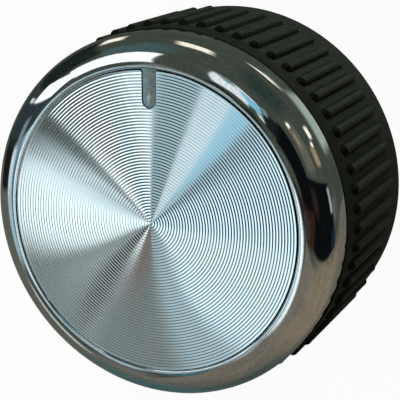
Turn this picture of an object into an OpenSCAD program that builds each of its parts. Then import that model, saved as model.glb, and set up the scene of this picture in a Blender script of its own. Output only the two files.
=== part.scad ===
// Grill knob: a ribbed black body, a chromed bezel with a pointer tab, and a spun aluminium face.
// The knob stands on its back rim, on the XY plane. Its axis is Z, and the pointer lies towards +Y.

/* [Face] */
// Diameter of the spun face disc
disc_d = 44.3; // [40:0.1:48]
// Thickness of the face disc
disc_t = 0.8; // [0.5:0.05:1.2]
// Distance from one turned groove to the next
groove_pitch = 0.44; // [0.4:0.01:1]
// Depth of the turned grooves
groove_depth = 0.068; // [0.02:0.002:0.12]
// Width of a groove's steeper flank, which faces outwards
groove_steep_w = 0.17; // [0.1:0.01:0.3]
// Plain border outside the last groove
disc_border = 0.07; // [0.05:0.01:1]
// Thickness of the adhesive film under the disc
film_t = 0.2; // [0.1:0.05:0.4]
// How far the film stays inside the edge of the disc
film_inset = 0.5; // [0.2:0.1:2]

/* [Bezel] */
// Gap between the disc and the bezel
disc_gap = 0.1; // [0.1:0.05:0.6]
// Radial width of the bezel
bezel_w = 4.85; // [3.8:0.05:6]
// Depth of the bezel, from the disc's face to its rear edge
bezel_h = 6.85; // [6:0.05:10]
// Height of the crowned front's quarter ellipse
crown_rise = 3.95; // [3:0.05:4.5]
// How far inside the bezel's inner wall the crown would lie level
crown_inset = 1.25; // [0.5:0.05:3.5]
// Rounding of the bezel's inner edge
bezel_edge_r = 0.5; // [0.1:0.05:0.8]
// How far the bezel's inner edge stands above the disc's face
bezel_stand = 0.05; // [0:0.05:0.3]
// Thickness of the bezel's side wall
bezel_wall = 2; // [1.5:0.1:2.6]
// Thickness of the bezel's inner flange
flange_t = 1.8; // [1.4:0.1:2.2]
// Width of the flange's seat on the body
flange_w = 1.1; // [0.8:0.1:1.5]
// Clearance of the bezel on the body's spigot
bezel_fit = 0.05; // [0.02:0.01:0.1]

/* [Pointer] */
// Width of the pointer tab
pointer_w = 2; // [1.2:0.1:3]
// Reach of the pointer tab inwards from the edge of the disc
pointer_l = 5.3; // [3:0.1:10]
// Gap between the pointer tab and the slot in the disc
pointer_gap = 0.12; // [0.1:0.01:0.6]
// Fillet where the pointer tab meets the bezel's inner wall
pointer_fillet = 0.4; // [0.2:0.05:0.8]
// How far the pointer's fillets run into the bezel's inner wall
pointer_sink = 0.1; // [0.05:0.05:0.2]
// Radius of the pointer's rounded back
pointer_crown_r = 5; // [2.5:0.1:8]
// Depth of the pointer's back below the disc's face
pointer_drop = 0.05; // [0:0.01:0.2]

/* [Body] */
// Height of the ribbed body, from the back rim to the bezel's seat
body_h = 25.6; // [22:0.1:32]
// Draft of the body's side: how much narrower it is at the bezel's seat
body_draft = 0.15; // [0:0.05:0.4]
// How far the back of the body stands out past the bezel
body_step = 0.25; // [0.2:0.05:0.8]
// Thickness of the skirt
skirt_wall = 2.6; // [2:0.1:3.5]
// Thickness of the front wall
front_wall = 3; // [2:0.1:4]
// Rounding of the back rim
rim_r = 0.5; // [0.2:0.1:1]

/* [Ribs] */
// Number of grip ribs
rib_count = 60; // [36:1:72]
// Radius of a rib's half-round section
rib_r = 0.75; // [0.6:0.05:0.9]
// How far the ribs stand out of the back band
rib_proud = 0.65; // [0.4:0.05:0.7]
// Plain band behind the ribs
back_band = 4.9; // [2:0.1:8]
// Plain band between the ribs and the bezel
front_band = 3.2; // [1:0.1:6]
// Angle from the pointer to the first rib
rib_phase = 0.85; // [0:0.05:6]

/* [Hub] */
// Diameter of the hub
hub_d = 15; // [13:0.1:18]
// How far the hub stays inside the back rim
hub_recess = 2; // [0.5:0.1:5]
// Diameter of the stem socket
socket_d = 8.1; // [6:0.1:9]
// Width of the socket from its round side to its flat
socket_flat = 6.6; // [5:0.1:7.5]
// Depth of the stem socket
socket_l = 18; // [12:0.5:22]
// Chamfer at the mouth of the socket
socket_lead = 0.6; // [0.2:0.1:1]
// Width of the slot that lets the hub spring
slot_w = 1.6; // [1:0.1:2.5]
// Depth of the slot
slot_l = 10; // [9:0.5:14]
// Number of webs between the hub and the skirt
web_count = 4; // [3:1:6]
// Thickness of the webs
web_t = 1.8; // [1.2:0.1:2.5]
// Distance from the clip to the back edge of the webs
web_gap = 1.5; // [0.5:0.1:4]

/* [Clip] */
// Thickness of the spring clip
clip_t = 0.8; // [0.5:0.1:1.2]
// Height of the spring clip
clip_h = 3; // [2:0.1:4]
// Opening angle of the spring clip
clip_open = 50; // [30:5:90]
// Distance from the end of the hub to the clip
clip_inset = 3; // [2:0.1:4]
// Depth of the clip's groove in the hub
clip_groove = 0.55; // [0.3:0.05:0.7]
// Clearance of the clip in its groove
clip_fit = 0.05; // [0.02:0.01:0.1]

/* [Hidden] */
$fn = 96;

// Overlap that keeps cuts and unions clean
slack = 1;
// Points along a crowned outline
crown_steps = 24;
edge_steps = 6;

disc_r = disc_d / 2;
bezel_in_r = disc_r + disc_gap;
bezel_r = bezel_in_r + bezel_w;
spigot_r = bezel_r - bezel_wall;
flange_r = bezel_in_r + flange_w;
skirt_r = bezel_r + body_step;
shoulder_r = skirt_r - body_draft;

face_z = body_h + bezel_h;
flange_z = face_z - flange_t;
deck_z = face_z - disc_t - film_t;
cavity_z = deck_z - front_wall;
cavity_r = skirt_r - skirt_wall;
neck_r = spigot_r - skirt_wall;
neck_z = body_h - skirt_wall;

rib_axis_r = skirt_r + rib_proud - rib_r;
rib_low_z = back_band + rib_r;
rib_high_z = body_h - front_band - rib_r;

hub_r = hub_d / 2;
socket_r = socket_d / 2;
socket_flat_y = socket_flat - socket_r;
clip_in_r = hub_r - clip_groove + clip_fit;
clip_z = hub_recess + clip_inset;
web_z = clip_z + clip_h + web_gap;

crown_centre_r = bezel_in_r - crown_inset;
crown_half_w = bezel_r - crown_centre_r;
crown_end_r = bezel_in_r + bezel_edge_r;
crown_end_a = acos((crown_end_r - crown_centre_r) / crown_half_w);
crown_z = face_z + bezel_stand - crown_rise * sin(crown_end_a);

pointer_tip_r = disc_r - pointer_l;
pointer_end_y = pointer_tip_r + pointer_w / 2;
pointer_top_z = face_z - pointer_drop;

// Outline of the crown and of the rounded inner edge, from the straight side to the inner wall
crown_points = [
    for (i = [0 : crown_steps])
        let (a = crown_end_a * i / crown_steps)
        [crown_centre_r + crown_half_w * cos(a), crown_z + crown_rise * sin(a)]
];
edge_points = [
    for (i = [1 : edge_steps])
        let (a = 90 + 90 * i / edge_steps)
        [crown_end_r + bezel_edge_r * cos(a), face_z + bezel_stand - bezel_edge_r + bezel_edge_r * sin(a)]
];

// Outline of the pointer tab grown by a gap: round tip, straight sides, fillets at the bezel's inner wall
module pointer_outline(gap, outer_r) {
    half_w = pointer_w / 2 + gap;
    foot_w = half_w + pointer_fillet;
    foot_y = sqrt(pow(bezel_in_r, 2) - pow(foot_w, 2)) - gap - pointer_fillet + pointer_sink;
    translate([0, pointer_end_y])
        circle(r = half_w);
    translate([-half_w, pointer_end_y])
        square([2 * half_w, outer_r - pointer_end_y]);
    difference() {
        translate([-foot_w, foot_y])
            square([2 * foot_w, outer_r - foot_y]);
        for (side = [-1, 1])
            translate([side * foot_w, foot_y])
                circle(r = pointer_fillet);
    }
}

module pointer_slot() {
    translate([0, 0, deck_z - slack])
        linear_extrude(disc_t + film_t + 2 * slack)
            pointer_outline(pointer_gap, disc_r + slack);
}

// Tab with a rounded back and a rounded tip
module pointer_tab() {
    intersection() {
        translate([0, 0, deck_z])
            linear_extrude(pointer_top_z - deck_z)
                pointer_outline(0, crown_end_r);
        union() {
            translate([0, pointer_end_y, pointer_top_z - pointer_crown_r])
                rotate([-90, 0, 0])
                    cylinder(r = pointer_crown_r, h = crown_end_r - pointer_end_y);
            translate([0, pointer_end_y, pointer_top_z - pointer_crown_r])
                sphere(r = pointer_crown_r);
        }
    }
}

module rib() {
    translate([rib_axis_r, 0, rib_low_z]) {
        cylinder(r = rib_r, h = rib_high_z - rib_low_z, $fn = 24);
        sphere(r = rib_r, $fn = 24);
        translate([0, 0, rib_high_z - rib_low_z])
            sphere(r = rib_r, $fn = 24);
    }
}

// Skirt, front wall and stepped spigot in one turned outline
module shell() {
    rim_points = [
        for (i = [0 : edge_steps])
            let (a = -90 * i / edge_steps)
            [skirt_r - rim_r + rim_r * cos(a), rim_r + rim_r * sin(a)]
    ];
    rotate_extrude()
        polygon(concat(
            [
                [0, deck_z],
                [bezel_in_r - bezel_fit, deck_z],
                [bezel_in_r - bezel_fit, flange_z - bezel_fit],
                [flange_r - bezel_fit, flange_z - bezel_fit],
                [spigot_r - bezel_fit, crown_z - bezel_fit],
                [spigot_r - bezel_fit, body_h],
                [shoulder_r, body_h]
            ],
            rim_points,
            [
                [cavity_r, 0],
                [cavity_r - body_draft, neck_z - skirt_wall],
                [neck_r, neck_z],
                [neck_r, cavity_z],
                [0, cavity_z]
            ]
        ));
}

// Webs between the hub and the skirt, whose outline follows the inside of the shell
module webs() {
    for (i = [0 : web_count - 1])
        rotate([90, 0, (i + 0.5) * 360 / web_count])
            linear_extrude(web_t, center = true)
                polygon([
                    [socket_r + slack, web_z],
                    [cavity_r + slack, web_z],
                    [cavity_r + slack, neck_z - skirt_wall],
                    [neck_r + slack, neck_z],
                    [neck_r + slack, cavity_z + slack],
                    [socket_r + slack, cavity_z + slack]
                ]);
}

// D-shaped socket with a chamfered mouth
module stem_socket() {
    intersection() {
        union() {
            translate([0, 0, hub_recess - slack])
                cylinder(r = socket_r, h = socket_l + slack);
            translate([0, 0, hub_recess - slack])
                cylinder(r1 = socket_r + socket_lead + slack, r2 = socket_r, h = socket_lead + slack);
        }
        translate([-hub_r, -hub_r, hub_recess - slack])
            cube([hub_d, hub_r + socket_flat_y, socket_l + slack]);
    }
}

module clip_ring_cut() {
    translate([0, 0, clip_z - clip_fit])
        rotate_extrude()
            translate([hub_r - clip_groove, 0])
                square([clip_groove + slack, clip_h + 2 * clip_fit]);
}

// Black moulding: ribbed skirt, spigot for the bezel, deck for the disc, webs and hub
module knob_body() {
    color([0.11, 0.12, 0.10])
        difference() {
            union() {
                shell();
                for (i = [0 : rib_count - 1])
                    rotate([0, 0, 90 - rib_phase - i * 360 / rib_count])
                        rib();
                translate([0, 0, hub_recess])
                    cylinder(r = hub_r, h = cavity_z - hub_recess + slack);
                webs();
            }
            stem_socket();
            clip_ring_cut();
            translate([-hub_r - slack, -slot_w / 2, hub_recess - slack])
                cube([hub_d + 2 * slack, slot_w, slot_l + slack]);
        }
}

// Chromed ring, crowned in front, with the pointer tab moulded on its inner edge
module bezel() {
    color([0.80, 0.82, 0.83])
        union() {
            rotate_extrude()
                polygon(concat(
                    [[bezel_r, body_h]],
                    crown_points,
                    edge_points,
                    [
                        [bezel_in_r, flange_z],
                        [flange_r, flange_z],
                        [spigot_r, crown_z],
                        [spigot_r, body_h]
                    ]
                ));
            pointer_tab();
        }
}

// Aluminium disc with turned V-grooves, counted from its edge, and slotted for the pointer tab
module face_disc() {
    turned_r = disc_r - disc_border;
    groove_count = floor(turned_r / groove_pitch);
    groove_points = [
        for (i = [groove_count : -1 : 1])
            let (r = turned_r - i * groove_pitch)
            each [[r, face_z], [r + groove_steep_w, face_z - groove_depth]]
    ];
    color([0.84, 0.86, 0.88])
        difference() {
            rotate_extrude()
                polygon(concat(
                    [[0, face_z - disc_t], [0, face_z]],
                    groove_points,
                    [[turned_r, face_z], [disc_r, face_z], [disc_r, face_z - disc_t]]
                ));
            pointer_slot();
        }
}

// Adhesive film under the disc
module disc_adhesive() {
    color([0.85, 0.82, 0.70])
        difference() {
            translate([0, 0, deck_z])
                cylinder(r = disc_r - film_inset, h = film_t);
            pointer_slot();
        }
}

// Spring-steel C-clip in the hub's groove
module stem_clip() {
    color([0.55, 0.56, 0.58])
        translate([0, 0, clip_z])
            rotate([0, 0, clip_open / 2 - 90])
                rotate_extrude(angle = 360 - clip_open)
                    translate([clip_in_r, 0])
                        square([clip_t, clip_h]);
}

knob_body();
bezel();
face_disc();
disc_adhesive();
stem_clip();
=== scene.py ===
import math

import bmesh
import bpy
from mathutils import Matrix, Vector


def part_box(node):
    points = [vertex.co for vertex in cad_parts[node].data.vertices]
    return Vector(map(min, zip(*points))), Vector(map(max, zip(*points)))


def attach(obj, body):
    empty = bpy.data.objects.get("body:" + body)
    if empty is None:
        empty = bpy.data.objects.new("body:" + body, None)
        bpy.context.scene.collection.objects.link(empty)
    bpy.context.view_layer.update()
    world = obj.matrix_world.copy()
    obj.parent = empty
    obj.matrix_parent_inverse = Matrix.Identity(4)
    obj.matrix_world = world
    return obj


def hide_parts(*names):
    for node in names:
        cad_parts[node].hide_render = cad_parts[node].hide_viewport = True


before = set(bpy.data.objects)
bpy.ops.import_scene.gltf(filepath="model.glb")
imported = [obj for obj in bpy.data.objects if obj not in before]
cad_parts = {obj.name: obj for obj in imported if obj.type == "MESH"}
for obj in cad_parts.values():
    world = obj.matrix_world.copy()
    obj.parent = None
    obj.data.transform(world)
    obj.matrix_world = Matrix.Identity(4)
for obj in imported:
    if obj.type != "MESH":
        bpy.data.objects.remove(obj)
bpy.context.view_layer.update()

# Black body
# One moulding in black plastic: a hollow skirt with half-round grip ribs, a stepped spigot that carries the
# bezel and the face, and inside it a hub with a D-shaped stem socket on four webs. Its skin has a fine grain.
mm = 0.001
bezel_low, bezel_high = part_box("bezel")
disc_low, disc_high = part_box("face_disc")
clip_low, clip_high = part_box("stem_clip")

face_z = disc_high.z
seat_z = bezel_low.z
deck_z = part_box("disc_adhesive")[0].z
disc_r = disc_high.x
bezel_r = bezel_high.x

disc_gap = 0.1 * mm
bezel_fit = 0.05 * mm
bezel_wall = 2 * mm
flange_w = 1.1 * mm
flange_t = 1.8 * mm
shoulder_drop = 3.734 * mm
bezel_in_r = disc_r + disc_gap
spigot_r = bezel_r - bezel_wall
spigot_shoulder_z = face_z - shoulder_drop
flange_r = bezel_in_r + flange_w
flange_z = face_z - flange_t

skirt_step = 0.25 * mm
skirt_wall = 2.6 * mm
skirt_draft = 0.15 * mm
front_wall = 3 * mm
rim_round = 0.5 * mm
inner_round = 0.3 * mm
shoulder_round = 0.12 * mm
skirt_r = bezel_r + skirt_step
cavity_r = skirt_r - skirt_wall
cavity_z = deck_z - front_wall
neck_r = spigot_r - skirt_wall
neck_z = seat_z - skirt_wall

hub_r = 7.5 * mm
hub_z = 2 * mm
hub_round = 0.25 * mm
socket_r = 4.05 * mm
socket_flat_y = 2.55 * mm
socket_depth = 18 * mm
socket_lead = 0.6 * mm
socket_top = hub_z + socket_depth
spring_slot_w = 1.6 * mm
spring_slot_depth = 10 * mm
clip_groove_depth = 0.55 * mm
clip_fit = 0.05 * mm
web_count = 4
web_t = 1.8 * mm
web_rise = 1.5 * mm
web_z = clip_high.z + web_rise
overlap = 1 * mm

rib_count = 60
rib_phase = math.radians(0.85)
rib_radius = 0.75 * mm
rib_proud = 0.65 * mm
rib_fillet = 0.08 * mm
rear_band = 4.9 * mm
front_band = 3.2 * mm
rib_low_z = rear_band + rib_radius
rib_high_z = seat_z - front_band - rib_radius

skirt_steps = 256
hub_steps = 96
weld_gap = 0.0005 * mm


def arc(centre, radii, start, end, steps):
    """Points on an elliptical arc, in degrees, both ends included."""
    angles = [math.radians(start + (end - start) * i / steps) for i in range(steps + 1)]
    return [(centre[0] + radii[0] * math.cos(a), centre[1] + radii[1] * math.sin(a)) for a in angles]


def round_edge(centre, radius, start, end, steps):
    """Points on a round arc, in degrees, both ends included."""
    return arc(centre, (radius, radius), start, end, steps)


def new_piece(name, mesh):
    """A new object at the origin that holds the mesh."""
    piece = bpy.data.objects.new(name, mesh)
    bpy.context.scene.collection.objects.link(piece)
    return piece


def weld(mesh, turn_out=False):
    """Merges points that lie on each other, and may turn the faces outwards."""
    shape = bmesh.new()
    shape.from_mesh(mesh)
    bmesh.ops.remove_doubles(shape, verts=shape.verts, dist=weld_gap)
    bmesh.ops.dissolve_degenerate(shape, edges=shape.edges, dist=weld_gap)
    if turn_out:
        bmesh.ops.recalc_face_normals(shape, faces=shape.faces)
    shape.to_mesh(mesh)
    shape.free()


def close_mesh(name, points, faces):
    """A mesh with its doubles merged and its faces turned outwards."""
    mesh = bpy.data.meshes.new(name)
    mesh.from_pydata(points, [], faces)
    weld(mesh, turn_out=True)
    return mesh


def lathe(name, outline, steps, span=2 * math.pi, first=0.0):
    """A closed outline of (radius, height) points turned about the Z axis."""
    full = math.isclose(span, 2 * math.pi)
    rings = steps if full else steps + 1
    size = len(outline)
    points = []
    for i in range(rings):
        angle = first + span * i / steps
        points += [(r * math.cos(angle), r * math.sin(angle), z) for r, z in outline]
    faces = []
    for i in range(steps):
        near, far = i * size, (i + 1) % rings * size
        for j in range(size):
            k = (j + 1) % size
            faces.append((near + j, far + j, far + k, near + k))
    if not full:
        faces += [tuple(range(size)), tuple(range(steps * size, (steps + 1) * size))]
    return new_piece(name, close_mesh(name, points, faces))


def prism(name, outline, low, high, turn=Matrix.Identity(4)):
    """A flat outline of (x, y) points raised from one height to another, then turned."""
    size = len(outline)
    points = [turn @ Vector((x, y, z)) for z in (low, high) for x, y in outline]
    faces = [tuple(range(size)), tuple(range(size, 2 * size))]
    faces += [(j, (j + 1) % size, size + (j + 1) % size, size + j) for j in range(size)]
    return new_piece(name, close_mesh(name, points, faces))


def settle(piece):
    """Works the piece's modifiers into its mesh, and removes them."""
    bpy.context.view_layer.update()
    graph = bpy.context.evaluated_depsgraph_get()
    mesh = bpy.data.meshes.new_from_object(piece.evaluated_get(graph))
    piece.modifiers.clear()
    piece.data = mesh


def carve(piece, tool, operation):
    """Joins the tool to the piece, cuts it out or keeps what they share, and removes the tool."""
    change = piece.modifiers.new(tool.name, "BOOLEAN")
    change.operation = operation
    change.object = tool
    change.solver = "MANIFOLD"
    settle(piece)
    bpy.data.objects.remove(tool)


def dress(piece, material, angle):
    """Welds the piece and gives it its finish, smooth but for edges sharper than the angle in degrees."""
    weld(piece.data)
    piece.data.materials.clear()
    piece.data.materials.append(material)
    piece.data.shade_smooth()
    piece.data.set_sharp_from_angle(angle=math.radians(angle))


class Wire:
    """An output socket in a node tree. Arithmetic on it adds Math nodes, and node() adds any other node."""

    def __init__(self, tree, socket=None):
        self.tree = tree
        self.socket = socket

    def feed(self, socket, value):
        """Links a wire to an input socket, or sets a plain value there."""
        if isinstance(value, Wire):
            self.tree.links.new(value.socket, socket)
        else:
            socket.default_value = value

    def node(self, kind, settings=None, inputs=None, output=0):
        """A new node with its settings, its inputs' values or links, and a wire from one output."""
        made = self.tree.nodes.new(kind)
        for name, value in (settings or {}).items():
            setattr(made, name, value)
        for key, value in (inputs or {}).items():
            self.feed(made.inputs[key], value)
        return Wire(self.tree, made.outputs[output])

    def math(self, operation, *values):
        return self.node("ShaderNodeMath", {"operation": operation}, dict(enumerate(values)))

    def __add__(self, other):
        return self.math("ADD", self, other)

    def __sub__(self, other):
        return self.math("SUBTRACT", self, other)

    def __rsub__(self, other):
        return self.math("SUBTRACT", other, self)

    def __mul__(self, other):
        return self.math("MULTIPLY", self, other)

    def __truediv__(self, other):
        return self.math("DIVIDE", self, other)

    __radd__ = __add__
    __rmul__ = __mul__

    def ramp(self, low, high, start=0.0, end=1.0):
        """Goes from start to end as this value goes from low to high."""
        span = {"From Min": low, "From Max": high, "To Min": start, "To Max": end, "Value": self}
        return self.node("ShaderNodeMapRange", {"interpolation_type": "SMOOTHSTEP"}, span)

    def blend(self, first, second):
        """A colour mix with this value as the factor."""
        return self.node("ShaderNodeMix", {"data_type": "RGBA"}, {0: self, 6: first, 7: second}, 2)


def finish_of(name):
    """A new material, its surface shader and a wire to build its nodes from."""
    material = bpy.data.materials.new(name)
    material.use_nodes = True
    tree = material.node_tree
    return material, tree.nodes["Principled BSDF"], Wire(tree)


def place_of(wire):
    """Object coordinates."""
    return wire.node("ShaderNodeTexCoord", output="Object")


def radius_of(place):
    """Distance of a place from the knob's axis."""
    flat = place.node("ShaderNodeVectorMath", {"operation": "MULTIPLY"}, {0: place, 1: (1, 1, 0)})
    return flat.node("ShaderNodeVectorMath", {"operation": "LENGTH"}, {0: flat}, "Value")


def axes_of(place):
    """The X, Y and Z of a place."""
    return [place.node("ShaderNodeSeparateXYZ", None, {0: place}, axis) for axis in range(3)]


def noise(place, scale, detail=3.0, roughness=0.5):
    """Noise from 0 to 1, with its scale in features for each metre."""
    values = {"Vector": place, "Scale": scale, "Detail": detail, "Roughness": roughness}
    return place.node("ShaderNodeTexNoise", None, values)


def roughen(shader, height, strength, depth):
    """Bump on a surface, from a height between 0 and 1."""
    bump = height.node("ShaderNodeBump", None, {"Strength": strength, "Distance": depth, "Height": height})
    height.feed(shader.inputs["Normal"], bump)


def black_plastic():
    """Grained black plastic, cloudy and specked, with painted shade at the ribs' feet and front ends and on
    the front band.
    """
    dark, pale = (0.009, 0.0125, 0.0095, 1), (0.0265, 0.0295, 0.0225, 1)
    # The near-black last tone is the colour of the painted shade.
    speck, painted_shade_tone = (0.05, 0.054, 0.045, 1), (0.002, 0.003, 0.0022, 1)
    foot_shade_start, foot_shade_near, foot_shade_far = -0.25 * mm, 0.05 * mm, 0.35 * mm
    end_soft, end_rise, band_fade = 0.1 * mm, 0.3 * mm, 1.5 * mm
    skin_low, skin_high = skirt_r - 0.6 * mm, skirt_r - 0.3 * mm
    rubbed_low, rubbed_high = skirt_r + 0.35 * mm, skirt_r + rib_proud
    material, shader, wire = finish_of("moulded_black_plastic")
    place = place_of(wire)
    radius = radius_of(place)
    across, along, height = axes_of(place)
    pitch = 2 * math.pi / rib_count
    turns = (across.math("ARCTAN2", across, along) - rib_phase) / pitch + 0.5
    aside = turns.math("ABSOLUTE", turns.math("FRACT", turns) - 0.5) * (pitch * skirt_r)
    beyond = height.math("MAXIMUM", height - rib_high_z, rib_low_z - height)
    beyond = beyond.math("MAXIMUM", beyond, 0.0)
    rib_edge = aside.math("SQRT", aside * aside + beyond * beyond) - rib_radius
    # Painted shade: the colour is darkened in the crease along each rib's foot, on the ribs' front ends and
    # along the front band by the bezel.
    foot = rib_edge.ramp(foot_shade_start, 0) * rib_edge.ramp(foot_shade_near, foot_shade_far, 1, 0)
    on_rib = rib_edge.ramp(-end_soft, end_soft, 1, 0)
    front_end_shade = on_rib * height.ramp(rib_high_z - end_soft, rib_high_z + end_rise)
    front_band_shade = height.ramp(rib_high_z, rib_high_z + band_fade)
    outer = radius.ramp(skin_low, skin_high)
    shadow = (foot * 0.6 + front_end_shade * 0.8) * outer + front_band_shade * 0.45
    grain = noise(place, scale=3200, detail=3, roughness=0.6)
    cloud = noise(place, scale=260, detail=4)
    mottle = noise(place, scale=1300, detail=4, roughness=0.7).ramp(0.3, 0.7)
    specks = noise(place, scale=2400, detail=2).ramp(0.56, 0.68)
    rubbed = radius.ramp(rubbed_low, rubbed_high)
    colour = (cloud * 0.4 + mottle * 0.6).blend(dark, pale)
    colour = (specks * 0.4).blend(colour, speck)
    # Painted shade: the colour falls towards near black where the shade mask is strong.
    colour = shadow.math("MINIMUM", shadow, 0.85).blend(colour, painted_shade_tone)
    wire.feed(shader.inputs["Base Color"], colour)
    wire.feed(shader.inputs["Roughness"], 0.44 + cloud * 0.14 - rubbed * 0.08)
    shader.inputs["Specular IOR Level"].default_value = 0.06
    roughen(shader, grain, strength=0.8, depth=0.06 * mm)
    return material


def rib_blank():
    """One rib at azimuth 0: a long half-round ridge with round ends and a small fillet at its foot."""
    axis_r = skirt_r + rib_proud - rib_radius
    foot_rise = rib_radius - rib_proud
    foot = math.sqrt(rib_radius ** 2 - foot_rise ** 2)
    crest_top, crest_step, crest_points = 88, 10, 8
    fillet_share, fillet_dip, root_depth = 0.35, 0.02 * mm, 0.5 * mm
    end_steps = 10
    crest = [math.radians(crest_top - crest_step * i) for i in range(crest_points)]
    section = [(rib_radius * math.cos(a), rib_radius * math.sin(a)) for a in crest]
    section += [(foot + rib_fillet * fillet_share, foot_rise + rib_fillet * fillet_share),
                (foot + rib_fillet, foot_rise - fillet_dip), (foot + rib_fillet, foot_rise - root_depth)]
    loops = []
    for reach, rise in section:
        loop = []
        for end_z, start in ((rib_high_z, 0.0), (rib_low_z, math.pi)):
            for i in range(end_steps + 1):
                a = start + math.pi * i / end_steps
                loop.append((axis_r + rise, reach * math.cos(a), end_z + reach * math.sin(a)))
        loops.append(loop)
    size = len(loops[0])
    points = [p for loop in loops for p in loop]
    faces = [tuple(range(size)), tuple(range(len(points) - size, len(points)))]
    for i in range(len(loops) - 1):
        for j in range(size):
            k = (j + 1) % size
            faces.append((i * size + j, i * size + k, (i + 1) * size + k, (i + 1) * size + j))
    return new_piece("rib_blank", close_mesh("rib_blank", points, faces))


def start_tree(name, kinds):
    """A Geometry Nodes tree with named inputs: the identifier of each input, and a wire from it."""
    tree = bpy.data.node_groups.new(name, "GeometryNodeTree")
    tree.interface.new_socket("Geometry", in_out="OUTPUT", socket_type="NodeSocketGeometry")
    sockets = {}
    for label, kind in kinds.items():
        socket = tree.interface.new_socket(label, in_out="INPUT", socket_type="NodeSocket" + kind)
        sockets[label] = socket.identifier
    inputs = tree.nodes.new("NodeGroupInput")
    return sockets, {label: Wire(tree, inputs.outputs[label]) for label in kinds}


def end_tree(piece, shape, finish, sockets, values):
    """Makes the shape real, in its finish, and gives it to the piece as a plain mesh."""
    tree = shape.tree
    real = shape.node("GeometryNodeRealizeInstances", None, {"Geometry": shape})
    done = shape.node("GeometryNodeSetMaterial", None, {"Geometry": real, "Material": finish})
    outputs = tree.nodes.new("NodeGroupOutput")
    tree.links.new(done.socket, outputs.inputs["Geometry"])
    change = piece.modifiers.new(tree.name, "NODES")
    change.node_group = tree
    for label, value in values.items():
        change[sockets[label]] = value
    settle(piece)


def ring_of(name, blank, count, first, material):
    """Copies of a blank set round the Z axis by Geometry Nodes, as one plain mesh."""
    kinds = {"Blank": "Object", "Count": "Int", "First Angle": "Float", "Finish": "Material"}
    sockets, given = start_tree(name, kinds)
    wire = given["Blank"]
    shape = wire.node("GeometryNodeObjectInfo", None, {"Object": given["Blank"]}, "Geometry")
    places = wire.node("GeometryNodePoints", None, {"Count": given["Count"]})
    index = wire.node("GeometryNodeInputIndex")
    angle = given["First Angle"] - index * (2 * math.pi) / given["Count"]
    turn = wire.node("ShaderNodeCombineXYZ", None, {"Z": angle})
    copies = wire.node("GeometryNodeInstanceOnPoints", None,
                       {"Points": places, "Instance": shape, "Rotation": turn})
    piece = new_piece(name, bpy.data.meshes.new(name))
    values = {"Blank": blank, "Count": count, "First Angle": first, "Finish": material}
    end_tree(piece, copies, given["Finish"], sockets, values)
    bpy.data.objects.remove(blank)
    return piece


plastic = black_plastic()
skirt_outline = [(0, deck_z), (bezel_in_r - bezel_fit, deck_z),
                 (bezel_in_r - bezel_fit, flange_z - bezel_fit), (flange_r - bezel_fit, flange_z - bezel_fit),
                 (spigot_r - bezel_fit, spigot_shoulder_z - bezel_fit), (spigot_r - bezel_fit, seat_z)]
shoulder = (skirt_r - skirt_draft - shoulder_round, seat_z - shoulder_round)
skirt_outline += round_edge(shoulder, shoulder_round, 90, 0, steps=4)
skirt_outline += round_edge((skirt_r - rim_round, rim_round), rim_round, 0, -90, steps=8)
skirt_outline += round_edge((cavity_r + inner_round, inner_round), inner_round, -90, -180, steps=5)
skirt_outline += [(cavity_r - skirt_draft, neck_z - skirt_wall), (neck_r, neck_z),
                  (neck_r, cavity_z), (0, cavity_z)]
body = lathe("moulded_body", skirt_outline, skirt_steps)
carve(body, ring_of("grip_ribs", rib_blank(), rib_count, math.pi / 2 - rib_phase, plastic), "UNION")

hub_outline = [(0, hub_z)]
hub_outline += round_edge((hub_r - hub_round, hub_z + hub_round), hub_round, -90, 0, steps=4)
hub_outline += [(hub_r, cavity_z + overlap), (0, cavity_z + overlap)]
carve(body, lathe("hub", hub_outline, hub_steps), "UNION")

web_outline = [(socket_r + overlap, web_z), (cavity_r + overlap, web_z),
               (cavity_r + overlap, neck_z - skirt_wall), (neck_r + overlap, neck_z),
               (neck_r + overlap, cavity_z + overlap), (socket_r + overlap, cavity_z + overlap)]
on_edge = Matrix.Rotation(math.pi / 2, 4, "X")
for i in range(web_count):
    stand = Matrix.Rotation((i + 0.5) * 2 * math.pi / web_count, 4, "Z") @ on_edge
    carve(body, prism("web", web_outline, -web_t / 2, web_t / 2, stand), "UNION")

socket_outline = [(0, hub_z - overlap), (socket_r + socket_lead + overlap, hub_z - overlap),
                  (socket_r, hub_z + socket_lead), (socket_r, socket_top), (0, socket_top)]
socket = lathe("stem_socket", socket_outline, hub_steps)
flat_block = [(-hub_r, socket_flat_y), (hub_r, socket_flat_y), (hub_r, hub_r), (-hub_r, hub_r)]
carve(socket, prism("socket_flat", flat_block, 0, socket_top + overlap), "DIFFERENCE")
carve(body, socket, "DIFFERENCE")

slot_x, slot_y = hub_r + overlap, spring_slot_w / 2
slot_block = [(-slot_x, -slot_y), (slot_x, -slot_y), (slot_x, slot_y), (-slot_x, slot_y)]
carve(body, prism("spring_slot", slot_block, hub_z - overlap, hub_z + spring_slot_depth), "DIFFERENCE")

clip_groove_r = hub_r - clip_groove_depth
clip_groove_low, clip_groove_high = clip_low.z - clip_fit, clip_high.z + clip_fit
clip_groove = [(clip_groove_r, clip_groove_low), (hub_r + overlap, clip_groove_low),
               (hub_r + overlap, clip_groove_high), (clip_groove_r, clip_groove_high)]
carve(body, lathe("clip_groove", clip_groove, hub_steps), "DIFFERENCE")
dress(body, plastic, angle=35)
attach(body, "root")
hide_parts("knob_body")

# Spring clip
# A C-shaped ring rolled from flat spring steel, snapped into the groove round the slotted end of the hub, so
# that the socket grips the stem. Its edges are rounded by tumbling.
clip_t = 0.8 * mm
clip_open = math.radians(50)
clip_round = 0.12 * mm
clip_steps = 120
clip_out_r = clip_high.x
clip_in_r = clip_out_r - clip_t


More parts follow.
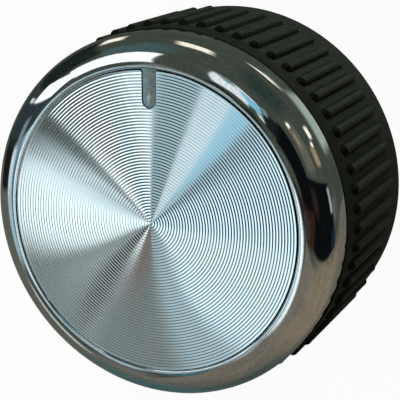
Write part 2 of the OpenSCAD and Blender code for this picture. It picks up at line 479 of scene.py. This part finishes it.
def spring_steel():
    """Grey steel with fine marks from rolling."""
    dull, pale = (0.36, 0.37, 0.38, 1), (0.5, 0.5, 0.5, 1)
    rolling = (0.15, 0.15, 3)
    material, shader, wire = finish_of("rolled_spring_steel")
    place = place_of(wire)
    stretched = place.node("ShaderNodeVectorMath", {"operation": "MULTIPLY"}, {0: place, 1: rolling})
    rolled = noise(stretched, scale=2500, detail=4)
    cloud = noise(place, scale=400, detail=3)
    wire.feed(shader.inputs["Base Color"], cloud.blend(dull, pale))
    shader.inputs["Metallic"].default_value = 1
    wire.feed(shader.inputs["Roughness"], 0.26 + rolled * 0.2)
    roughen(shader, rolled, strength=0.2, depth=0.02 * mm)
    return material


clip_outline = []
for corner_r, corner_z, start in ((clip_out_r - clip_round, clip_high.z - clip_round, 0),
                                  (clip_in_r + clip_round, clip_high.z - clip_round, 90),
                                  (clip_in_r + clip_round, clip_low.z + clip_round, 180),
                                  (clip_out_r - clip_round, clip_low.z + clip_round, 270)):
    clip_outline += round_edge((corner_r, corner_z), clip_round, start, start + 90, steps=4)
clip = lathe("spring_clip", clip_outline, clip_steps, 2 * math.pi - clip_open, clip_open / 2 - math.pi / 2)
dress(clip, spring_steel(), angle=35)
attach(clip, "root")
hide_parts("stem_clip")

# Bezel
# A ring moulded with its pointer tab, then chrome plated and pressed on the body's spigot. Its front is
# crowned down to a straight side, and the plating is bright, with a faint haze and marks from wiping.
crown_rise = 3.95 * mm
crown_inset = 1.25 * mm
edge_round = 0.5 * mm
rear_round = 0.15 * mm
crown_centre_r = bezel_in_r - crown_inset
crown_end_r = bezel_in_r + edge_round
crown_end_a = math.degrees(math.acos((crown_end_r - crown_centre_r) / (bezel_r - crown_centre_r)))
crown_z = bezel_high.z - crown_rise * math.sin(math.radians(crown_end_a))
ring_steps = 360

pointer_w = 2 * mm
pointer_l = 5.3 * mm
pointer_fillet = 0.4 * mm
pointer_sink = 0.1 * mm
pointer_crown_r = 5 * mm
pointer_drop = 0.05 * mm
pointer_gap = 0.12 * mm
pointer_tip_r = disc_r - pointer_l
pointer_end_y = pointer_tip_r + pointer_w / 2
pointer_top_z = face_z - pointer_drop
pointer_steps = 96
worn_shift = 0.4 * mm
worn_w = 0.4 * mm
worn_l = 1.3 * mm
worn_y = pointer_end_y + worn_shift


def bright_chrome():
    """Bright plating, satin on the pointer tab and at its root, with a worn patch near the tab's tip."""
    plate_dull, plate_pale = (0.7, 0.71, 0.715, 1), (0.87, 0.88, 0.885, 1)
    tab_dull, tab_pale, tab_worn = (0.28, 0.3, 0.29, 1), (0.42, 0.45, 0.44, 1), (0.85, 0.82, 0.72, 1)
    tab_low, tab_high = bezel_in_r - 0.35 * mm, bezel_in_r - 0.05 * mm
    lip_low = bezel_in_r + 0.2 * mm
    wiping_stretch = 9
    material, shader, wire = finish_of("bright_chrome")
    place = place_of(wire)
    radius = radius_of(place)
    across, along, height = axes_of(place)
    stretched = {"X": radius * wiping_stretch, "Y": height * wiping_stretch}
    wiping = noise(wire.node("ShaderNodeCombineXYZ", None, stretched), scale=900, detail=3)
    cloud = noise(place, scale=90, detail=3)
    mottle = noise(place, scale=1600, detail=4, roughness=0.6).ramp(0.3, 0.7)
    haze = noise(place, scale=2600, detail=3, roughness=0.65).ramp(0.32, 0.68)
    aside = across.math("ABSOLUTE", across)
    root = aside.ramp(pointer_w / 2, pointer_w / 2 + pointer_fillet, 1, 0) * along.ramp(0, pointer_tip_r)
    inner = radius.ramp(tab_low, tab_high, 1, 0)
    lip = radius.ramp(lip_low, crown_end_r, 1, 0)
    satin = inner.math("MAXIMUM", inner, root * lip)
    reach = aside / worn_w
    length = (along - worn_y) / worn_l
    worn = reach.math("SQRT", reach * reach + length * length).ramp(0.2, 1, 1, 0)
    tab_colour = mottle.blend(tab_dull, tab_pale)
    tab_colour = (worn * mottle).blend(tab_colour, tab_worn)
    plating = haze.blend(plate_dull, plate_pale)
    wire.feed(shader.inputs["Base Color"], satin.blend(plating, tab_colour))
    shader.inputs["Metallic"].default_value = 1
    wire.feed(shader.inputs["Roughness"], 0.02 + wiping * 0.03 + cloud * 0.03 + satin * 0.4)
    roughen(shader, wiping, strength=0.05, depth=0.02 * mm)
    return material


def tab_outline(gap, end_y):
    """Outline of the pointer tab grown by a gap: round tip, straight sides and fillets at its root."""
    half_w = pointer_w / 2 + gap
    foot_w = half_w + pointer_fillet
    foot_y = math.sqrt(bezel_in_r ** 2 - foot_w ** 2) - gap - pointer_fillet + pointer_sink
    tip = round_edge((0, pointer_end_y), half_w, 180, 360, steps=32)
    right_foot = round_edge((foot_w, foot_y), pointer_fillet, 180, 90, steps=8)
    left_foot = round_edge((-foot_w, foot_y), pointer_fillet, 90, 0, steps=8)
    return tip + right_foot + [(foot_w, end_y), (-foot_w, end_y)] + left_foot


bezel_outline = [(bezel_r - rear_round, seat_z)]
bezel_outline += round_edge((bezel_r - rear_round, seat_z + rear_round), rear_round, -80, 0, steps=5)
crown_radii = (bezel_r - crown_centre_r, crown_rise)
bezel_outline += arc((crown_centre_r, crown_z), crown_radii, 0, crown_end_a, steps=60)
bezel_outline += round_edge((crown_end_r, bezel_high.z - edge_round), edge_round, 98, 180, steps=14)
bezel_outline += [(bezel_in_r, flange_z), (flange_r, flange_z),
                  (spigot_r, spigot_shoulder_z), (spigot_r, seat_z)]
bezel = lathe("chrome_bezel", bezel_outline, ring_steps)

tab = prism("pointer_tab", tab_outline(0, crown_end_r), deck_z, pointer_top_z)
crown_low_z = pointer_top_z - pointer_crown_r
tip_outline = round_edge((0, 0), pointer_crown_r, -90, 90, steps=48)
tab_back = lathe("pointer_back", tip_outline, pointer_steps)
tab_back.data.transform(Matrix.Translation((0, pointer_end_y, crown_low_z)))
ridge_outline = round_edge((0, crown_low_z), pointer_crown_r, 0, 360, pointer_steps)[:-1]
swap_y_and_z = Matrix(((1, 0, 0, 0), (0, 0, 1, 0), (0, 1, 0, 0), (0, 0, 0, 1)))
ridge = prism("pointer_ridge", ridge_outline, pointer_end_y, crown_end_r, swap_y_and_z)
carve(tab_back, ridge, "UNION")
carve(tab, tab_back, "INTERSECT")
carve(bezel, tab, "UNION")
dress(bezel, bright_chrome(), angle=30)
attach(bezel, "root")
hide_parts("bezel")

# Adhesive film
# A thin double-sided film of amber adhesive, die cut with the same slot as the face. It bonds the face to the
# deck of the body, and keeps its plain flat shape.


def film_finish():
    """Cloudy amber adhesive."""
    dull, pale = (0.5, 0.46, 0.34, 1), (0.66, 0.62, 0.5, 1)
    material, shader, wire = finish_of("adhesive_film")
    cloud = noise(place_of(wire), scale=800, detail=3)
    wire.feed(shader.inputs["Base Color"], cloud.blend(dull, pale))
    wire.feed(shader.inputs["Roughness"], 0.4 + cloud * 0.2)
    return material


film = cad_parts["disc_adhesive"]
film.data.materials.clear()
film.data.materials.append(film_finish())

# Spun face
# An aluminium disc turned with close grooves. The tool left a steep flank that faces outwards and a shallow
# one that faces inwards, so light fans out over it. A slot lets the pointer tab through, and the film holds
# the disc down.
groove_pitch = 0.44 * mm
groove_depth = 0.068 * mm
steep_w = 0.17 * mm
disc_border = 0.07 * mm
disc_edge = 0.02 * mm
turned_r = disc_r - disc_border
groove_count = math.floor(turned_r / groove_pitch)


def spun_aluminium():
    """Bright aluminium, a little uneven from groove to groove."""
    dull, pale = (0.8, 0.85, 0.87, 1), (0.89, 0.925, 0.935, 1)
    material, shader, wire = finish_of("spun_aluminium")
    place = place_of(wire)
    cloud = noise(place, scale=120, detail=3)
    rings = noise(wire.node("ShaderNodeCombineXYZ", None, {"X": radius_of(place)}), scale=1400, detail=2)
    shade = cloud * 0.6 + rings * 0.4
    wire.feed(shader.inputs["Base Color"], shade.blend(dull, pale))
    shader.inputs["Metallic"].default_value = 1
    wire.feed(shader.inputs["Roughness"], 0.08 + rings * 0.06)
    return material


def turned_grooves(piece, material):
    """Sinks the face's rings to a saw-tooth of their radius by Geometry Nodes."""
    sizes = {"Pitch": groove_pitch, "Depth": groove_depth, "Steep Width": steep_w, "Turned Radius": turned_r,
             "First Radius": turned_r - groove_count * groove_pitch, "Face Height": face_z}
    kinds = {"Geometry": "Geometry", **{label: "Float" for label in sizes}, "Finish": "Material"}
    slack, turn_slack = 1e-6, 1e-4
    sockets, given = start_tree("turned_grooves", kinds)
    place = given["Geometry"].node("GeometryNodeInputPosition")
    radius = radius_of(place)
    height = axes_of(place)[2]
    turns = (radius - given["First Radius"]) / given["Pitch"] + turn_slack
    along = (turns.math("FRACT", turns) - turn_slack) * given["Pitch"]
    fall = along / given["Steep Width"]
    climb = (given["Pitch"] - along) / (given["Pitch"] - given["Steep Width"])
    sunk = fall.math("MINIMUM", fall, climb) * given["Depth"]
    outside = radius.math("GREATER_THAN", radius, given["First Radius"] - slack)
    inside = radius.math("LESS_THAN", radius, given["Turned Radius"] - slack)
    top = height.math("GREATER_THAN", height, given["Face Height"] - slack)
    shift = place.node("ShaderNodeCombineXYZ", None, {"Z": 0 - sunk * outside * inside * top})
    moved = place.node("GeometryNodeSetPosition", None, {"Geometry": given["Geometry"], "Offset": shift})
    end_tree(piece, moved, given["Finish"], sockets, {**sizes, "Finish": material})


disc_outline = [(0, face_z)]
for i in range(groove_count, 0, -1):
    groove_r = turned_r - i * groove_pitch
    disc_outline += [(groove_r, face_z), (groove_r + steep_w, face_z)]
disc_outline += [(turned_r, face_z), (disc_r - disc_edge, face_z), (disc_r, face_z - disc_edge),
                 (disc_r, disc_low.z), (0, disc_low.z)]
face = lathe("spun_face", disc_outline, ring_steps)
slot_outline = tab_outline(pointer_gap, disc_r + overlap)
carve(face, prism("pointer_slot", slot_outline, disc_low.z - overlap, face_z + overlap), "DIFFERENCE")
aluminium = spun_aluminium()
turned_grooves(face, aluminium)
dress(face, aluminium, angle=12)
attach(face, "root")
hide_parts("face_disc")

# Floor and camera
# A plain pale floor that shows as white and keeps a soft shadow, and a long lens that looks down at the face
# from the pointer's right. The metal mirrors the studio's cards and not the floor.
view_azimuth = math.radians(56.372)
view_elevation = math.radians(59.088)
view_roll = math.radians(0.323)
view_distance = 187.38 * mm
aim_x, aim_y = 7.73 * mm, 4.37 * mm
sensor_w = 36
lens_length = 117.9
near_clip = 10 * mm
floor_half = 2.0
floor_z = -0.01 * mm
floor_glow = 0.96


def seen_rays(wire):
    """1 for camera, glossy and transmission rays, and 0 for the rays that carry light."""
    camera_ray, glossy_ray, clear_ray = (wire.node("ShaderNodeLightPath", output=f"Is {kind} Ray")
                                         for kind in ("Camera", "Glossy", "Transmission"))
    return camera_ray + glossy_ray + clear_ray


def floor_finish():
    """Matt pale grey that shows as white, with a small share left to the shadow."""
    material, shader, wire = finish_of("pale_floor")
    shader.inputs["Base Color"].default_value = (0.86, 0.86, 0.86, 1)
    shader.inputs["Roughness"].default_value = 0.9
    glow = wire.node("ShaderNodeEmission", None, {"Color": (1, 1, 1, 1), "Strength": 1})
    lit = Wire(wire.tree, shader.outputs[0])
    mixed = wire.node("ShaderNodeMixShader", None, {0: seen_rays(wire) * floor_glow, 1: lit, 2: glow})
    wire.feed(wire.tree.nodes["Material Output"].inputs["Surface"], mixed)
    return material


floor_corners = [(-floor_half, -floor_half, floor_z), (floor_half, -floor_half, floor_z),
                 (floor_half, floor_half, floor_z), (-floor_half, floor_half, floor_z)]
floor_mesh = bpy.data.meshes.new("floor")
floor_mesh.from_pydata(floor_corners, [], [(0, 1, 2, 3)])
floor = new_piece("floor", floor_mesh)
floor.data.materials.append(floor_finish())
floor.visible_glossy = False

lens = bpy.data.cameras.new("camera")
lens.sensor_width = sensor_w
lens.lens = lens_length
lens.clip_start = near_clip
camera = bpy.data.objects.new("camera", lens)
bpy.context.scene.collection.objects.link(camera)
camera.location = (view_distance * math.cos(view_elevation) * math.sin(view_azimuth),
                   view_distance * math.cos(view_elevation) * math.cos(view_azimuth),
                   face_z + view_distance * math.sin(view_elevation))
look = Vector((aim_x, aim_y, face_z)) - camera.location
side = look.cross(Vector((0, 1, 0))).normalized()
upward = side.cross(look).normalized()
upright = Matrix((side, upward, -look.normalized())).transposed()
camera.rotation_euler = (upright @ Matrix.Rotation(-view_roll, 3, "Z")).to_euler()
bpy.context.scene.camera = camera

# Studio light
# A low soft key from the pointer's side, a soft fill from behind, and a weak world. What the metal mirrors is
# a set of cards and flags on a dark dome round the stage, which only reflections see.
dome_r = 0.9
lamp_r = 0.7
card_step = 3
card_gap = 4 * mm
world_light = 0.08


def dome_point(azimuth, elevation, radius):
    """A point over the stage, by degrees clockwise from the pointer and degrees up."""
    a, e = math.radians(azimuth), math.radians(elevation)
    return Vector((math.sin(a) * math.cos(e), math.cos(a) * math.cos(e), math.sin(e))) * radius


def card_finish(name, colour, strength, soft):
    """Light of one colour, a little uneven, that fades out over a share of the card at its edges."""
    material, shader, wire = finish_of(name)
    uneven = noise(place_of(wire), scale=7, detail=3)
    level = (0.7 + uneven * 0.6) * strength
    glow = wire.node("ShaderNodeEmission", None, {"Color": (*colour, 1), "Strength": level})
    across, upward = axes_of(wire.node("ShaderNodeUVMap"))[:2]
    fade_across = across.math("MINIMUM", across, 1 - across).ramp(0, soft)
    fade_upward = upward.math("MINIMUM", upward, 1 - upward).ramp(0, soft)
    clear = wire.node("ShaderNodeBsdfTransparent")
    mixed = wire.node("ShaderNodeMixShader", None, {0: fade_across * fade_upward, 1: clear, 2: glow})
    wire.feed(wire.tree.nodes["Material Output"].inputs["Surface"], mixed)
    wire.tree.nodes.remove(shader)
    return material


def card(name, layer, corners, colour, strength=1.0, soft=0.08):
    """A card on the dome between corners of azimuth and elevation. A higher layer is in front."""
    across = max(abs(corners[1][0] - corners[0][0]), abs(corners[2][0] - corners[3][0]))
    upward = max(abs(corners[3][1] - corners[0][1]), abs(corners[2][1] - corners[1][1]))
    columns, rows = math.ceil(across / card_step), math.ceil(upward / card_step)
    points, cuts = [], []
    for i in range(columns + 1):
        for j in range(rows + 1):
            u, v = i / columns, j / rows
            weights = ((1 - u) * (1 - v), u * (1 - v), u * v, (1 - u) * v)
            azimuth = sum(w * c[0] for w, c in zip(weights, corners))
            elevation = sum(w * c[1] for w, c in zip(weights, corners))
            points.append(dome_point(azimuth, elevation, dome_r - layer * card_gap))
            cuts.append((u, v))
    line = rows + 1
    faces = [(i * line + j, i * line + j + 1, (i + 1) * line + j + 1, (i + 1) * line + j)
             for i in range(columns) for j in range(rows)]
    mesh = bpy.data.meshes.new(name)
    mesh.from_pydata(points, [], faces)
    sheet = mesh.uv_layers.new(name="UVMap")
    for loop in mesh.loops:
        sheet.data[loop.index].uv = cuts[loop.vertex_index]
    piece = new_piece(name, mesh)
    piece.data.materials.append(card_finish(name, colour, strength, soft))
    for rays in ("camera", "diffuse", "transmission", "volume_scatter", "shadow"):
        setattr(piece, "visible_" + rays, False)


def box_of(low_azimuth, high_azimuth, low, high):
    """Four corners of a card that is square to the dome."""
    return ((low_azimuth, low), (high_azimuth, low), (high_azimuth, high), (low_azimuth, high))


black, olive, taupe = (0.004, 0.005, 0.006), (0.06, 0.073, 0.058), (0.146, 0.138, 0.105)
teal, daylight, cream = (0.066, 0.119, 0.122), (0.9, 0.98, 1), (1, 0.95, 0.8)
card("dome", 0, box_of(-180, 180, -90, 90), olive, soft=1e-4)
card("teal_back", 1, box_of(303, 347, 17, 46), teal, soft=0.3)
card("dark_front", 1, box_of(12, 48, -18, 58), (0.031, 0.052, 0.043), soft=0.3)
card("grey_top", 1, box_of(212, 309, 58, 89), (0.22, 0.27, 0.27), soft=0.12)
card("dark_top", 1, box_of(308, 362, 78, 88), (0.016, 0.02, 0.015), soft=0.25)
card("dark_top_side", 1, box_of(304, 335, 70, 80), (0.02, 0.025, 0.022), soft=0.25)
card("dim_top", 2, box_of(264, 310, 76, 89.5), (0.016, 0.019, 0.018), soft=0.15)
card("brown_strip", 2, box_of(285, 304, 60, 77), (0.22, 0.16, 0.14), soft=0.2)
card("pale_slit", 3, box_of(285, 291, 59, 64), (0.7, 0.78, 0.78), soft=0.3)
card("pale_spot", 3, box_of(292, 307, 73, 80), (0.85, 0.95, 0.97), 1.9, soft=0.3)
card("tan_base", 1, ((112, -90), (266, -90), (262, 19), (119, 34)), taupe, soft=0.02)
card("tan_upper", 1, ((119, 26), (214, 16), (194, 54), (137, 71)), (0.19, 0.175, 0.14), soft=0.05)
card("tan_light", 2, ((98, -66), (158, -66), (172, 56), (110, 64)), (0.24, 0.198, 0.14), soft=0.3)
card("low_grey", 2, box_of(20, 80, -80, -64), (0.36, 0.44, 0.39), soft=0.2)
card("tan_grey", 2, box_of(160, 206, 20, 54), (0.176, 0.159, 0.128), soft=0.3)
card("base_dark", 3, box_of(154, 208, -70, 20), (0.062, 0.083, 0.072), soft=0.35)
card("base_edge", 2, box_of(211, 264, -60, 22), (0.12, 0.13, 0.106), soft=0.12)
card("base_teal", 4, box_of(184, 226, -70, 25), teal, soft=0.3)
card("grey_rise", 3, box_of(204, 223, 17, 36), (0.143, 0.145, 0.135), soft=0.3)
card("low_glow", 5, box_of(218, 241, 12, 20), (0.6, 0.64, 0.63), soft=0.3)
card("grey_step", 3, box_of(197, 214, 37, 51), (0.05, 0.145, 0.175), soft=0.2)
card("step_light", 4, box_of(183, 204, 46, 60), (0.4, 0.46, 0.47), soft=0.3)
card("dark_side", 3, ((80, -8), (109, -9), (127, 58), (79, 57)), black, soft=0.04)
card("dark_high", 3, ((40, 56), (124, 53), (124, 74), (44, 83)), black, soft=0.06)
card("dark_crest", 5, box_of(78, 182, 86, 89.5), (0.012, 0.016, 0.015), soft=0.25)
card("dark_gap", 3, ((30, 64), (48, 56), (56, 81), (18, 81)), (0.01, 0.014, 0.016), soft=0.2)
card("dark_peak", 3, box_of(112, 148, 72, 84), (0.02, 0.019, 0.018), soft=0.2)
card("grey_band", 4, box_of(60, 110, 82, 88), (0.1, 0.12, 0.12), soft=0.25)
card("red_strip", 4, ((98, 54), (127, 55), (144, 69), (112, 76)), (0.042, 0.016, 0.008), soft=0.2)
card("slate_top", 5, box_of(113, 142, 63, 74), (0.035, 0.036, 0.038), soft=0.3)
card("red_low", 4, box_of(83, 105, 42, 58), (0.028, 0.018, 0.018), soft=0.3)
card("navy_low", 4, box_of(101, 111, -16, 8), (0.012, 0.021, 0.04), soft=0.2)
card("grey_bar", 4, box_of(82, 95, -8, 5), (0.38, 0.38, 0.38), soft=0.15)
card("low_bar", 4, box_of(88, 100, -29, -13), (0.13, 0.16, 0.145), soft=0.2)
card("low_strip", 3, box_of(86, 104, -60, -26), (0.08, 0.1, 0.09), soft=0.3)
card("tan_side", 4, box_of(44, 80, 22, 51), (0.15, 0.142, 0.108), soft=0.25)
card("tan_top", 5, box_of(51, 64, 34, 43), (0.3, 0.27, 0.2), soft=0.3)
card("tan_low", 5, box_of(62, 74, -12, 16), (0.36, 0.29, 0.175), soft=0.25)
card("blue_wide", 4, ((209, 33), (263, 20), (294, 66), (212, 60)), (0.42, 0.6, 0.68), soft=0.12)
card("blue_softbox", 5, ((236, 28), (264, 35.5), (279, 58), (230, 48)), (0.68, 0.9, 1), 1.35, soft=0.12)
card("blue_low", 5, ((239, 16), (270, 17), (270, 30), (240, 27)), (0.4, 0.57, 0.65), soft=0.2)
card("blue_shine", 6, ((253, 16), (270, 17), (268, 29), (256, 28)), (0.66, 0.82, 0.88), soft=0.3)
card("blue_bar", 7, ((240, 27), (271, 29), (271, 39), (240, 30)), (0.09, 0.17, 0.2), soft=0.3)
card("top_softbox", 4, ((130, 84), (175, 51), (193, 53.5), (224, 90)), (0.84, 0.98, 1), 1.4, soft=0.2)
card("top_softbox_foot", 5, ((160, 74), (174, 50), (197, 51), (204, 74)), (0.5, 0.63, 0.67), soft=0.5)
card("dark_left", 6, box_of(257, 271, -14, 20), (0.012, 0.012, 0.012), soft=0.15)
card("dark_middle", 6, box_of(267, 286, -22, 48), (0.03, 0.043, 0.046), soft=0.15)
card("dark_right", 6, box_of(284, 313, -24, 30), (0.014, 0.02, 0.02), soft=0.15)
card("grey_pane", 8, box_of(266, 276, 21, 32), (0.22, 0.28, 0.33), soft=0.3)
card("side_softbox", 7, ((294, 29), (331, 47), (307, 60), (287, 43)), daylight, 1.5, soft=0.05)
card("side_softbox_foot", 7, ((281, 16), (288, 18), (297, 44), (279, 40)), daylight, 1.5, soft=0.05)
card("side_strip", 7, box_of(281, 283, -1, 15), (0.7, 0.8, 0.8), soft=0.2)
card("back_softbox", 7, ((353, 55), (385, 63), (360, 77), (331, 70)), daylight, 0.97, soft=0.05)
card("blue_pane", 8, ((364, 62), (388, 63), (386, 73), (366, 75)), (0.24, 0.62, 0.85), soft=0.15)
card("pane_edge", 8, box_of(386, 394, 60, 69), (0.2, 0.3, 0.36), soft=0.3)
card("low_pane", 8, ((350, 54), (367, 57), (368, 64), (355, 64)), (0.15, 0.27, 0.3), soft=0.3)
card("pale_pane", 8, box_of(373, 386, 73, 78.5), (0.75, 0.82, 0.82), soft=0.25)
lamp_places = (box_of(343, 364, -1, 20), box_of(311, 323, -22, 1), box_of(53, 61, -34, -5),
               box_of(6, 28, -66, -43), box_of(47, 51, 34, 44), box_of(61, 64, -13, 3))
for number, corners in enumerate(lamp_places):
    card(f"lamp_{number + 1}", 8, corners, cream, 1.2, soft=0.25)


def soft_lamp(name, azimuth, elevation, width, height, power):
    """An area lamp that looks at the middle of the knob and isn't mirrored in it."""
    lamp = bpy.data.lights.new(name, "AREA")
    lamp.shape = "RECTANGLE"
    lamp.size = width
    lamp.size_y = height
    lamp.energy = power
    stand = bpy.data.objects.new(name, lamp)
    bpy.context.scene.collection.objects.link(stand)
    stand.location = dome_point(azimuth, elevation, lamp_r)
    stand.rotation_euler = (Vector((0, 0, face_z / 2)) - stand.location).to_track_quat("-Z", "Y").to_euler()
    stand.visible_glossy = False


soft_lamp("key", 8, 7, width=0.7, height=0.14, power=5.5)
soft_lamp("fill", 236, 25, width=0.5, height=0.3, power=4)

world = bpy.data.worlds.new("pale_world")
bpy.context.scene.world = world
world.use_nodes = True
world_wire = Wire(world.node_tree)
background = world.node_tree.nodes["Background"]
background.inputs["Color"].default_value = (1, 1, 1, 1)
world_wire.feed(background.inputs["Strength"], seen_rays(world_wire).ramp(0, 1, world_light, 1))

bpy.context.scene.view_settings.view_transform = "Standard"
